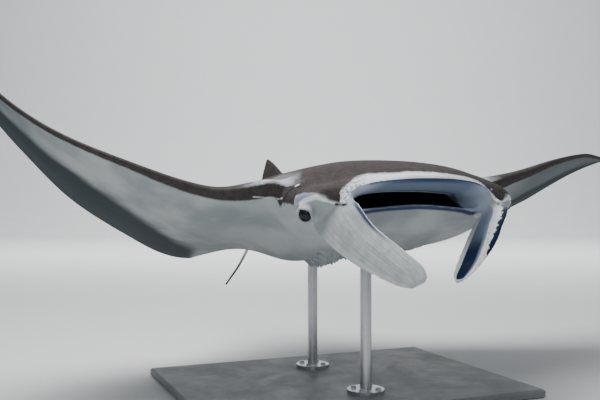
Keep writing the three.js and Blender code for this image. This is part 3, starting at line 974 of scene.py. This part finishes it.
def back_edge(mm, normals, station, share, height, chord):
    """Distance above the line where the dark back ends, and whether a point is on the upper side."""
    x, y, z = mm.T
    side = np.abs(x)
    level = along(SPAN, DISC["rise"], station) * smoothstep(share, RISE_FROM, 1)
    upper = np.where(share > 0.9, normals[:, 2] > 0, height > level)
    from_nose = np.abs(share * chord)
    on_wing = along(WRAP_AT, WRAP, station) + np.where(upper, from_nose, -from_nose)
    lip_line = by_side(x, lambda which: along(LIP_AT, LIP_LINE[which], side))
    line = np.where(side < HEAD_FRONT_HALF, lip_line, along(FLANK_AT, FLANK_LINE, y))
    on_head = fade(y, 215, 270) * fade(side, 385, 420)
    edge = on_head * (z - line) + (1 - on_head) * on_wing
    return np.where((z < -62) & (y < 300), -EDGE_RANGE, edge), upper


def mouth_depth(mm, normals):
    """How far into the mouth each point is: negative outside it."""
    x, y, z = mm.T
    side = np.abs(x)
    mouth = look_up(MOUTH_AT, MOUTH, y)
    within = (z < mouth["top"] + 8) & (side < mouth["half"] + 10) & (y < MOUTH_AT[-1] + 12)
    over_lip = z > along(RIM_AT, RIM, side) - 2
    inner = within & (over_lip | (normals[:, 2] > 0.3))
    # Where the throat's painted shade starts: further back at the sides, and only below a given height.
    depth = y - along(BLACK_AT, BLACK_DEEPER, x) * smoothstep(y, 20, 100)
    held = BLACK_FROM + 3 * (along(BLACK_AT, BLACK_BELOW, x) - z)
    depth = np.minimum(depth, np.maximum(held, 60))
    under_lip = 4 * (along(LIP_AT, BAND_LOW, side) - z) + 8 * np.maximum(y - 70, 0)
    return np.where(inner, np.minimum(depth, under_lip), -EDGE_RANGE)


def blue_line(mm):
    """The dark blue line under the lower lip."""
    side, y = np.abs(mm[:, 0]), mm[:, 1]
    below = along(RIM_AT, RIM, side) - mm[:, 2]
    jaw = smoothstep(y, 58, 66) * fade(y, 138, 150) * fade(side, 200, 214)
    return jaw * smoothstep(below, 1, 5) * fade(below, 11, 16)


def shoulder_patch_and_highlight(mm, upper):
    """The pale patches of the shoulders, lightest at the front where they also hold a painted highlight;
    they fade to the rear and leave a brown edge outside.
    """
    side, y = np.abs(mm[:, 0]), mm[:, 1]
    pale = np.max([fade(distance, 8, 112) for distance in strokes(mm * [1, 1, 0.6], SHOULDER)], axis=0)
    brown_edge = smoothstep(side + 0.42 * np.abs(y - 205), 312, 334)
    return pale * (1 - 0.8 * smoothstep(y, 320, 660)) * brown_edge * upper


def gill_shade(mm):
    """The dark of the gill slits, and a fainter line along the edges of their covers."""
    x, y, z = mm.T
    shade = np.zeros(len(mm))
    for k in range(GILLS):
        u, behind = gill_place(x, y, k)
        slit = smoothstep(behind, -2, 3) * fade(behind, 8, 20)
        cover = 0.5 * bump(behind, -4, 6)
        shade = np.maximum(shade, np.maximum(slit, cover) * (np.abs(u) < 1) * (z < GILL_BELOW))
    return shade


def mark_distance(mm, routes):
    """Signed distance from the nearest edge of some marks, positive inside."""
    return np.max([half - gap for route, half in routes for gap in strokes(mm, route)], axis=0)


def paint(obj):
    """Signed distances and shares that the skin's material turns into markings."""
    mesh = obj.data
    mm = vertex_rows(mesh) / MM
    normals = vertex_rows(mesh, "normal")
    x, y, z = mm.T
    side = np.abs(x)
    station, share, height, chord = wing_places(mm)
    back, upper = back_edge(mm, normals, station, share, height, chord)
    front = (y < HEAD_FRONT) & (z > CHIN)
    band = np.where(front & (side < HEAD_FRONT_HALF), z - along(LIP_AT, BAND_LOW, side), -EDGE_RANGE)
    rear = share - by_side(x, lambda which: along(REAR_BAND_AT, REAR_BAND[which], station))
    mouth_half = np.maximum(along(MOUTH_AT, MOUTH["half"], y), 1)
    on_fin, fin_length, fin_across, fin_inner = fin_places(mm)
    layers = {
        "back": edge_value(back),
        "band": edge_value(band),
        "mouth": mouth_depth(mm, normals) / MOUTH_RANGE,
        "blue": blue_line(mm),
        # pale shoulder patches, with a painted highlight where they are lightest at the front
        "pale": shoulder_patch_and_highlight(mm, upper),
        "rear": np.where(upper, -1, rear),
        "tip": by_side(x, lambda which: smoothstep(station, *TIP_SHADE[which])),
        "corner": smoothstep(side, 178, 214) * front,
        "gill": gill_shade(mm),
        "cheek": fade(side / mouth_half, 0.55, 0.9),
        "on_fin": on_fin,
        "fin_length": fin_length,
        "fin_across": fin_across,
        "fin_inner": fin_inner,
    }
    for name, routes in MARKS.items():
        layers[name] = edge_value(mark_distance(mm, routes))
    for name, values in layers.items():
        layer = mesh.attributes.new(name, "FLOAT", "POINT")
        layer.data.foreach_set("value", np.ascontiguousarray(values, dtype=np.float32))


# ---- Materials

class Nodes:
    """A short way to write a material's node tree."""

    def __init__(self, name):
        self.material = bpy.data.materials.new(name)
        self.material.use_nodes = True
        self.tree = self.material.node_tree
        self.tree.nodes.clear()
        self.shader = self.node("BsdfPrincipled")
        output = self.node("OutputMaterial")
        self.tree.links.new(self.shader.outputs[0], output.inputs["Surface"])

    def feed(self, node, inputs):
        """Sets a node's inputs, or links them where the value is another node's output."""
        for name, value in inputs.items():
            if isinstance(value, bpy.types.NodeSocket):
                self.tree.links.new(value, node.inputs[name])
            else:
                node.inputs[name].default_value = value

    def node(self, kind, inputs=None, **settings):
        node = self.tree.nodes.new("ShaderNode" + kind)
        for name, setting in settings.items():
            setattr(node, name, setting)
        self.feed(node, inputs or {})
        return node

    def surface(self, inputs):
        """Feeds the shader and gives the finished material."""
        self.feed(self.shader, inputs)
        return self.material

    def attribute(self, name):
        return self.node("Attribute", attribute_name=name).outputs["Fac"]

    def math(self, operation, a, b):
        return self.node("Math", {0: a, 1: b}, operation=operation).outputs[0]

    def add(self, a, b):
        return self.math("ADD", a, b)

    def less(self, a, b):
        return self.math("SUBTRACT", a, b)

    def times(self, a, b):
        return self.math("MULTIPLY", a, b)

    def position(self):
        return self.node("TexCoord").outputs["Object"]

    def noise(self, scale, detail=3.0, rough=0.55, vector=None):
        inputs = {"Vector": vector or self.position(), "Scale": scale, "Detail": detail, "Roughness": rough}
        return self.node("TexNoise", inputs).outputs[0]

    def centred_noise(self, scale, detail):
        return self.less(self.noise(scale, detail), 0.5)

    def ramp(self, value, low, high, out_low=0.0, out_high=1.0):
        inputs = {"Value": value, "From Min": low, "From Max": high, "To Min": out_low, "To Max": out_high}
        return self.node("MapRange", inputs, interpolation_type="SMOOTHSTEP").outputs[0]

    def mix(self, share, a, b):
        return self.node("Mix", {0: share, 6: a, 7: b}, data_type="RGBA").outputs[2]

    def coats(self, base, *coats):
        """A colour with others laid over it in turn, each by its share."""
        for share, tint in coats:
            base = self.mix(share, base, tint)
        return base

    def bump(self, height, distance, strength=1.0, after=None):
        inputs = {"Height": height, "Distance": distance, "Strength": strength}
        if after:
            inputs["Normal"] = after
        return self.node("Bump", inputs).outputs[0]


def colour(r, g, b):
    return (r, g, b, 1.0)


BACK = colour(0.036, 0.032, 0.032)
BACK_LIGHT = colour(0.086, 0.077, 0.075)
# pale shoulder patches, partly a painted highlight
SHOULDER_PALE_AND_HIGHLIGHT = colour(0.50, 0.53, 0.60)
# the white underside in two random tones, both painted a darker grey as the shade beneath the animal
BELLY_SHADED = colour(0.30, 0.335, 0.345)
BELLY_LIGHT = colour(0.45, 0.485, 0.495)
LIP_WHITE = colour(0.86, 0.88, 0.91)
LIP_GREY = colour(0.28, 0.33, 0.44)
PALATE = colour(0.17, 0.22, 0.31)
# painted light: blue-grey made paler as the light on the mouth's side walls and the head fins' roots, which
# lie in shade
LIT_CHEEK = colour(0.34, 0.40, 0.50)
BLUE_DARK = colour(0.035, 0.055, 0.125)
# painted shade, near black, deep in the throat
MOUTH_SHADE = colour(0.018, 0.024, 0.036)
SHADE = colour(0.022, 0.033, 0.040)
SHADE_SOFT = colour(0.10, 0.125, 0.135)
# dark marks, and painted shade in a crease and in the spiracle
INK_AND_SHADE = colour(0.010, 0.012, 0.024)
FIN_NAVY = colour(0.012, 0.022, 0.050)
FIN_PALE = colour(0.58, 0.615, 0.63)
EYE_BLACK = colour(0.004, 0.005, 0.010)
EYE_BLUE = colour(0.012, 0.015, 0.030)
PAINT_DARK = colour(0.20, 0.21, 0.22)
PAINT_LIGHT = colour(0.23, 0.24, 0.25)
STEEL_DARK = colour(0.50, 0.51, 0.53)
STEEL_LIGHT = colour(0.62, 0.63, 0.65)
FLOOR_DARK = colour(0.74, 0.75, 0.76)
FLOOR_LIGHT = colour(0.78, 0.79, 0.80)
SKY = colour(0.86, 0.90, 0.95)


def belly_base(n):
    """The pale underside, painted a darker grey as the shade under the animal, with its dark rear bands,
    wings and gill slits.
    """
    rear = n.add(n.attribute("rear"), n.times(n.centred_noise(7.0, 4.0), 0.16))
    return n.coats(
        BELLY_SHADED,
        (n.ramp(n.noise(5.0, 3.0), 0.35, 0.65), BELLY_LIGHT),
        (n.ramp(n.noise(60.0, 5.0, 0.65), 0.55, 0.8, 0.0, 0.16), SHADE),
        (n.times(n.attribute("tip"), 0.85), SHADE_SOFT),
        (n.ramp(rear, -0.09, 0.09, 0.0, 0.96), SHADE),
        (n.ramp(rear, 0.2, 0.45, 0.0, 0.2), SHADE_SOFT),
        (n.times(n.attribute("gill"), 0.8), SHADE),
    )


def back_base(n):
    """The dark, mottled back with pale patches on its shoulders, which also hold a painted highlight at
    their front.
    """
    patchy = n.times(n.attribute("pale"), n.ramp(n.noise(26.0, 5.0, 0.65), 0.3, 0.58, 0.3, 1.0))
    mottled = n.ramp(n.noise(60.0, 8.0, 0.8), 0.2, 0.85)
    return n.coats(BACK, (mottled, BACK_LIGHT), (patchy, SHOULDER_PALE_AND_HIGHLIGHT))


def mouth_base(n, depth):
    """The inside of the mouth, from its dark edge to the black of the throat, which is painted shade."""
    cheek = n.attribute("cheek")
    return n.coats(
        BLUE_DARK,
        # the side walls painted paler as lit
        (n.ramp(depth, 0.0, 0.13), n.mix(cheek, LIT_CHEEK, PALATE)),
        (n.ramp(cheek, 0.0, 0.3, 0.8, 0.0), LIT_CHEEK),
        (n.ramp(depth, 0.36, 0.40, 0.0, 0.7), BLUE_DARK),
        (n.times(n.ramp(depth, 0.40, 0.42), cheek), FIN_PALE),
        # the throat's near-black painted shade
        (n.ramp(depth, 0.44, 0.48), MOUTH_SHADE),
    )


def skin_base(n):
    """The skin's colour, from the belly and back to the marks on the head."""
    ragged = n.add(n.times(n.centred_noise(38.0, 4.0), 0.22), n.times(n.centred_noise(150.0, 3.0), 0.16))

    def edge(name, softness, noise_share=1.0):
        value = n.add(n.attribute(name), n.times(ragged, noise_share))
        return n.ramp(value, -softness, softness)

    lip = n.times(edge("band", 0.03, 0.05), n.less(1.0, edge("back", 0.14, 0.9)))
    speckle = n.ramp(n.noise(110.0, 4.0, 0.7), 0.44, 0.58)
    mottle = n.times(speckle, n.add(0.14, n.times(n.attribute("corner"), 0.85)))
    depth = n.attribute("mouth")
    return n.coats(
        belly_base(n),
        (edge("back", 0.11, 0.8), back_base(n)),
        (lip, n.mix(mottle, LIP_WHITE, LIP_GREY)),
        (edge("grey", 0.12), LIP_GREY),
        (edge("white", 0.07, 0.4), LIP_WHITE),
        # dark marks, partly painted shade in the crease and spiracle
        (edge("ink_and_shade", 0.06, 0.5), INK_AND_SHADE),
        (n.times(n.attribute("blue"), 0.95), BLUE_DARK),
        (n.ramp(depth, -0.02, 0.0), mouth_base(n, depth)),
    )


def fin_ridges(n):
    """Fine slanting ridges along the head fins."""
    length = n.attribute("fin_length")
    slant = n.add(n.times(n.attribute("fin_across"), 44.0), n.times(length, -16.0))
    vector = n.node("CombineXYZ", {0: slant, 1: n.times(length, 3.0)}).outputs[0]
    return n.noise(1.0, 2.0, 0.5, vector)


def fin_base(n):
    """The head fins' colours: pale outside, white, navy and blotched inside."""
    across = n.attribute("fin_across")
    length = n.attribute("fin_length")
    margin = n.times(n.ramp(across, 0.006, 0.02), n.ramp(across, 0.05, 0.10, 1.0, 0.0))
    outer = n.coats(
        FIN_PALE,
        (n.ramp(n.noise(40.0, 3.0), 0.35, 0.7), BELLY_LIGHT),
        (n.times(margin, n.ramp(length, 0.30, 0.52, 0.95, 0.0)), BLUE_DARK),
        (n.ramp(across, 0.004, 0.02, 1.0, 0.0), LIP_WHITE),
        (n.ramp(across, 0.80, 0.86, 0.0, 0.35), LIP_WHITE),
        (n.ramp(fin_ridges(n), 0.40, 0.62, 0.0, 0.30), SHADE_SOFT),
    )
    fold = n.add(RIDGE_ROOT, n.times(length, RIDGE_TIP - RIDGE_ROOT))
    past_fold = n.less(across, fold)
    hollow = n.coats(
        # painted light at the fin's root, paler as lit
        LIT_CHEEK,
        (n.ramp(length, 0.14, 0.40), PALATE),
        (n.ramp(length, 0.36, 0.60), FIN_NAVY),
        (n.ramp(past_fold, 0.02, 0.16, 0.75, 0.0), LIP_GREY),
    )
    blotch = n.times(n.centred_noise(75.0, 4.0), 0.30)
    from_margin = n.less(n.add(across, blotch), n.ramp(length, 0.62, 0.75, 0.13, -0.1))
    inner = n.coats(
        LIP_WHITE,
        (n.ramp(blotch, 0.0, 0.06, 0.0, 0.5), LIP_GREY),
        (n.ramp(past_fold, -0.02, 0.02), hollow),
        (n.ramp(from_margin, -0.02, 0.02, 1.0, 0.0), FIN_NAVY),
        (n.ramp(across, 0.82, 0.87), FIN_PALE),
        (n.ramp(length, 0.91, 0.94), FIN_PALE),
    )
    return n.mix(n.attribute("fin_inner"), outer, inner)


def skin_material():
    n = Nodes("ray_skin")
    on_fin = n.attribute("on_fin")
    normal = n.bump(n.noise(420.0, 4.0, 0.6), 0.0006)
    normal = n.bump(n.noise(75.0, 3.0, 0.5), 0.0015, 0.6, normal)
    normal = n.bump(n.noise(14.0, 3.0, 0.5), 0.006, 0.35, normal)
    normal = n.bump(n.times(fin_ridges(n), on_fin), 0.005, 0.7, normal)
    return n.surface({
        "Base Color": n.mix(on_fin, skin_base(n), fin_base(n)),
        "Roughness": n.ramp(n.noise(90.0, 4.0), 0.3, 0.7, 0.40, 0.56),
        "Specular IOR Level": 0.0,
        "Coat Weight": 0.08,
        "Coat Roughness": 0.28,
        "Normal": normal,
    })


def eye_material():
    n = Nodes("ray_eye")
    return n.surface({
        "Base Color": n.mix(n.ramp(n.noise(60.0, 4.0), 0.4, 0.7), EYE_BLACK, EYE_BLUE),
        "Roughness": 0.22,
        "Specular IOR Level": 0.1,
        "Coat Weight": 0.35,
        "Coat Roughness": 0.05,
    })


def stand_paint():
    n = Nodes("stand_paint")
    return n.surface({
        "Base Color": n.mix(n.ramp(n.noise(30.0, 4.0), 0.4, 0.7), PAINT_DARK, PAINT_LIGHT),
        "Roughness": n.ramp(n.noise(12.0, 4.0), 0.3, 0.7, 0.42, 0.55),
        "Normal": n.bump(n.noise(900.0, 2.0), 0.0003),
    })


def brushed_steel():
    n = Nodes("brushed_steel")
    stretched = n.node("Mapping", {"Vector": n.position(), "Scale": (60.0, 60.0, 1.0)}).outputs[0]
    grain = n.noise(40.0, 4.0, 0.6, stretched)
    return n.surface({
        "Base Color": n.mix(grain, STEEL_DARK, STEEL_LIGHT),
        "Metallic": 1.0,
        "Roughness": n.ramp(grain, 0.3, 0.7, 0.24, 0.38),
        "Normal": n.bump(grain, 0.0002),
    })


def floor_material():
    n = Nodes("studio_floor")
    return n.surface({"Base Color": n.mix(n.noise(3.0, 2.0), FLOOR_DARK, FLOOR_LIGHT), "Roughness": 0.75})


# ---- Building the animal and finishing its stand

FLESH = ["head", "lower_jaw", "trunk", "dorsal_fin", "tail_base", "tail_middle", "tail_tip"]
for which in POSE:
    FLESH += [f"wing_{which}_{part}" for part in ("root", "middle", "tip")]
    FLESH += [f"cephalic_fin_{which}", f"pelvic_fin_{which}"]


def dress(obj, material):
    obj.data.materials.clear()
    obj.data.materials.append(material)


def place(obj):
    """Moves a mesh from the animal's frame to the model's."""
    set_places(obj.data, vertex_rows(obj.data) + HOME)
    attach(obj, "root")


def build_skin():
    skin = body_centre()
    settle(skin)
    join_wings(skin)
    carve(skin)
    paint(skin)
    dress(skin, skin_material())
    place(skin)
    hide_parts(*FLESH)


def build_eyes():
    material = eye_material()
    for which, centre in EYES.items():
        eye = ellipsoid("eyeball_" + which, centre, EYE_RADII)
        dress(eye, material)
        place(eye)
        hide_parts("eye_" + which)


def bolt_rings(x, y, foot):
    turns = np.arange(BOLT_SIDES) * 2 * np.pi / BOLT_SIDES
    return np.array([
        np.stack([x + np.cos(turns) * radius, y + np.sin(turns) * radius, 0 * turns + foot + up], -1)
        for radius, up in BOLT_PROFILE
    ])


def finish_stand():
    dress(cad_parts["stand_base"], stand_paint())
    steel = brushed_steel()
    for name in ("stand_rod_front", "stand_rod_rear"):
        dress(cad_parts[name], steel)
        low, high = (np.array(corner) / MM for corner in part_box(name))
        x, y, _ = (low + high) / 2
        for k in range(BOLTS):
            turn = 2 * np.pi * (k + 0.5) / BOLTS
            spot = x + BOLT_CIRCLE * np.cos(turn), y + BOLT_CIRCLE * np.sin(turn)
            bolt = solid(f"{name}_bolt_{k + 1}", bolt_rings(*spot, low[2] + FLANGE_THICK - BOLT_SUNK))
            dress(bolt, steel)
            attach(bolt, "root")


# ---- Studio, in metres

VIEW_TURN = math.radians(22.6)  # the camera's heading, which the backdrop faces
CAMERA_AT = np.array([-1.214, -1.932, -0.036])  # in the animal's frame
LENS = 48.0
FLOOR_REACH = 20.0
BACKDROP_Y = 16.0
BACKDROP_RISE = 10.0
BACKDROP_BEND = 5.0
BEND_STEPS = 24
SKY_STRENGTH = 0.21
LIGHTS = {  # place, aim, size, power and tint
    "top_light": ((-0.9, 0.1, 3.4), (-0.1, -0.1, 0.7), (2.8, 2.2), 190, (1.0, 0.99, 0.97)),
    "front_light": ((-2.4, -4.2, 2.3), (0, -0.3, 0.7), (2.0, 1.6), 40, (0.97, 0.98, 1.0)),
    "left_light": ((3.4, -1.6, 2.0), (0, 0, 0.8), (1.8, 1.8), 16, (1.0, 1.0, 1.0)),
    "backdrop_light": ((2.2, 5.4, 6.4), (5.0, 12.0, 0.2), (11.0, 3.5), 1500, (1.0, 1.0, 1.0)),
}


def studio_floor():
    """A floor that bends up into a backdrop."""
    start = BACKDROP_Y - BACKDROP_BEND
    bend = np.linspace(0, math.pi / 2, BEND_STEPS)[1:]
    profile = [(-FLOOR_REACH, 0.0), (start, 0.0)]
    profile += [(start + BACKDROP_BEND * math.sin(a), BACKDROP_BEND * (1 - math.cos(a))) for a in bend]
    profile += [(BACKDROP_Y, BACKDROP_RISE)]
    sin, cos = math.sin(VIEW_TURN), math.cos(VIEW_TURN)
    verts = [
        (across * cos + y * sin, y * cos - across * sin, up)
        for y, up in profile
        for across in (-FLOOR_REACH, FLOOR_REACH)
    ]
    faces = [(2 * i, 2 * i + 1, 2 * i + 3, 2 * i + 2) for i in range(len(profile) - 1)]
    mesh = bpy.data.meshes.new("studio_floor")
    mesh.from_pydata(verts, [], faces)
    for face in mesh.polygons:
        face.use_smooth = True
    floor = add_object("studio_floor", mesh)
    dress(floor, floor_material())


def lighting():
    world = bpy.data.worlds.new("studio_world")
    world.use_nodes = True
    sky = world.node_tree.nodes["Background"]
    sky.inputs["Color"].default_value = SKY
    sky.inputs["Strength"].default_value = SKY_STRENGTH
    bpy.context.scene.world = world
    for name, (spot, aim, size, power, tint) in LIGHTS.items():
        light = bpy.data.lights.new(name, "AREA")
        light.shape = "RECTANGLE"
        light.size, light.size_y = size
        light.energy = power
        light.color = tint
        lamp = add_object(name, light)
        lamp.location = spot
        lamp.rotation_euler = (Vector(aim) - Vector(spot)).to_track_quat("-Z", "Y").to_euler()


def camera():
    data = bpy.data.cameras.new("camera")
    data.lens = LENS
    data.sensor_width = 36.0
    data.clip_end = 100.0
    cam = add_object("camera", data)
    cam.location = CAMERA_AT + HOME
    cam.rotation_euler = (math.radians(90), 0, -VIEW_TURN)
    bpy.context.scene.camera = cam


build_skin()
build_eyes()
finish_stand()
studio_floor()
lighting()
camera()
